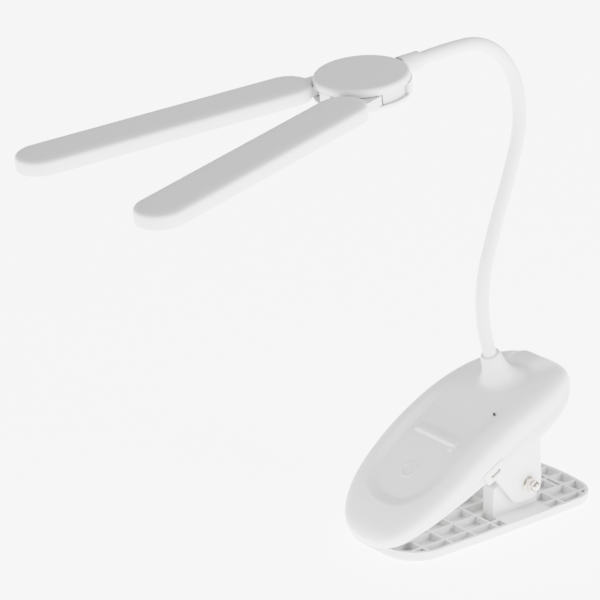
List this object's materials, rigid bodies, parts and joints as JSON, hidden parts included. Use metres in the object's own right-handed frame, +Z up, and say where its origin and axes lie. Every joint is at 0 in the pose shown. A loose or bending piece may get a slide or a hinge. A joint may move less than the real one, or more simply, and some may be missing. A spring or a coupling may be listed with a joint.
{
  "type": "clip-on reading lamp",
  "caption": "Clip-on reading lamp: sprung clip with rechargeable body, bendable gooseneck and a hub with twin swinging light bars.",
  "frame": {"origin": "middle of the flat underside of the lower jaw", "axes": "+Z up with the lamp standing on its lower jaw, -X towards the nose of the clip and the light bars, Y across"},
  "size_m": [0.3226, 0.1222, 0.2707],
  "materials": {
    "white_abs": "satin moulded white ABS",
    "bar_abs": "satin moulded white ABS",
    "skirt_abs": "satin moulded off-white ABS",
    "neck_sleeve": "smooth white silicone sleeve",
    "silicone": "matte silicone",
    "nickel": "bright nickel plate",
    "spring_steel": "oiled spring steel",
    "zinc_screw": "zinc plated steel",
    "nylon": "natural nylon",
    "circuit_board": "white solder mask",
    "battery_wrap": "foil pouch",
    "clear_resin": "clear light pipe",
    "led_resin": "phosphor coated light chips",
    "diffuser": "opal diffuser"
  },
  "bodies": {
    "base": {"lower_jaw": "white_abs", "torsion_spring": "spring_steel", "spring_bush": "nylon"},
    "clip_body": {"jaw_pad": "silicone", "upper_shell": "white_abs", "lower_shell": "skirt_abs", "usb_socket": "nickel", "usb_board": "circuit_board", "control_board": "circuit_board", "battery_cell": "battery_wrap", "touch_contact": "nickel", "status_light": "clear_resin", "housing_screws": "zinc_screw", "pivot_bolt": "nickel", "cap_nut": "nickel", "pivot_washers": "nickel", "neck_collar": "white_abs", "neck_anchor": "zinc_screw", "neck_sleeve_1": "neck_sleeve", "neck_core_1": "spring_steel"},
    "neck_link_2": {"neck_sleeve_2": "neck_sleeve", "neck_core_2": "spring_steel"},
    "neck_link_3": {"neck_sleeve_3": "neck_sleeve", "neck_core_3": "spring_steel"},
    "neck_link_4": {"neck_sleeve_4": "neck_sleeve", "neck_core_4": "spring_steel"},
    "neck_link_5": {"neck_sleeve_5": "neck_sleeve", "neck_core_5": "spring_steel"},
    "neck_link_6": {"neck_sleeve_6": "neck_sleeve", "neck_core_6": "spring_steel"},
    "neck_link_7": {"neck_sleeve_7": "neck_sleeve", "neck_core_7": "spring_steel"},
    "head": {"neck_sleeve_8": "neck_sleeve", "neck_core_8": "spring_steel", "neck_ferrule": "white_abs", "hub_cover": "white_abs", "hub_base": "white_abs", "hub_screws": "zinc_screw", "hub_washers": "nylon", "neck_clamp": "nylon"},
    "light_left": {"bar_housing_left": "bar_abs", "arm_left": "white_abs", "led_board_left": "circuit_board", "led_chips_left": "led_resin", "diffuser_left": "diffuser"},
    "light_right": {"bar_housing_right": "bar_abs", "arm_right": "white_abs", "led_board_right": "circuit_board", "led_chips_right": "led_resin", "diffuser_right": "diffuser"}
  },
  "joints": [
    {"name": "clip_open", "type": "hinge", "parent": "base", "child": "clip_body", "pos_m": [0.0226, 0, 0.0203], "axis": [0, 1, 0], "range_deg": [0, 32], "stiffness_Nm_per_rad": 2.2, "springref_deg": -28.65, "deforming": ["torsion_spring"]},
    {"name": "neck_bend_low", "type": "hinge", "parent": "clip_body", "child": "neck_link_2", "pos_m": [0.00623, 0, 0.11864], "axis": [0, 1, 0], "range_deg": [-15, 15]},
    {"name": "neck_side", "type": "hinge", "parent": "neck_link_2", "child": "neck_link_3", "pos_m": [0.00923, 0, 0.14724], "axis": [0.9622, 0, -0.2723], "range_deg": [-12, 12]},
    {"name": "neck_bend_low_2", "type": "hinge", "parent": "neck_link_3", "child": "neck_link_4", "pos_m": [0.01807, 0, 0.17475], "axis": [0, 1, 0], "range_deg": [-15, 15]},
    {"name": "neck_side_2", "type": "hinge", "parent": "neck_link_4", "child": "neck_link_5", "pos_m": [0.027, 0, 0.20223], "axis": [0.9603, 0, -0.279], "range_deg": [-12, 12]},
    {"name": "neck_bend_high", "type": "hinge", "parent": "neck_link_5", "child": "neck_link_6", "pos_m": [0.02857, 0, 0.23084], "axis": [0, 1, 0], "range_deg": [-15, 15]},
    {"name": "neck_side_3", "type": "hinge", "parent": "neck_link_6", "child": "neck_link_7", "pos_m": [0.01558, 0, 0.25617], "axis": [0.7145, 0, 0.6997], "range_deg": [-12, 12]},
    {"name": "neck_bend_high_2", "type": "hinge", "parent": "neck_link_7", "child": "head", "pos_m": [-0.01036, 0, 0.2671], "axis": [0, 1, 0], "range_deg": [-15, 15]},
    {"name": "bar_left_swing", "type": "hinge", "parent": "head", "child": "light_left", "pos_m": [-0.07856, 0, 0.26491], "axis": [0.108, 0, -0.9942], "range_deg": [-11.4, 38]},
    {"name": "bar_right_swing", "type": "hinge", "parent": "head", "child": "light_right", "pos_m": [-0.07856, 0, 0.26491], "axis": [-0.108, 0, 0.9942], "range_deg": [-11.4, 38]}
  ],
  "couplings": [
    {"joint": "neck_bend_low_2", "follows": "neck_bend_low", "ratio": 1},
    {"joint": "neck_side_2", "follows": "neck_side", "ratio": 1},
    {"joint": "neck_side_3", "follows": "neck_side", "ratio": 1},
    {"joint": "neck_bend_high_2", "follows": "neck_bend_high", "ratio": 1}
  ]
}
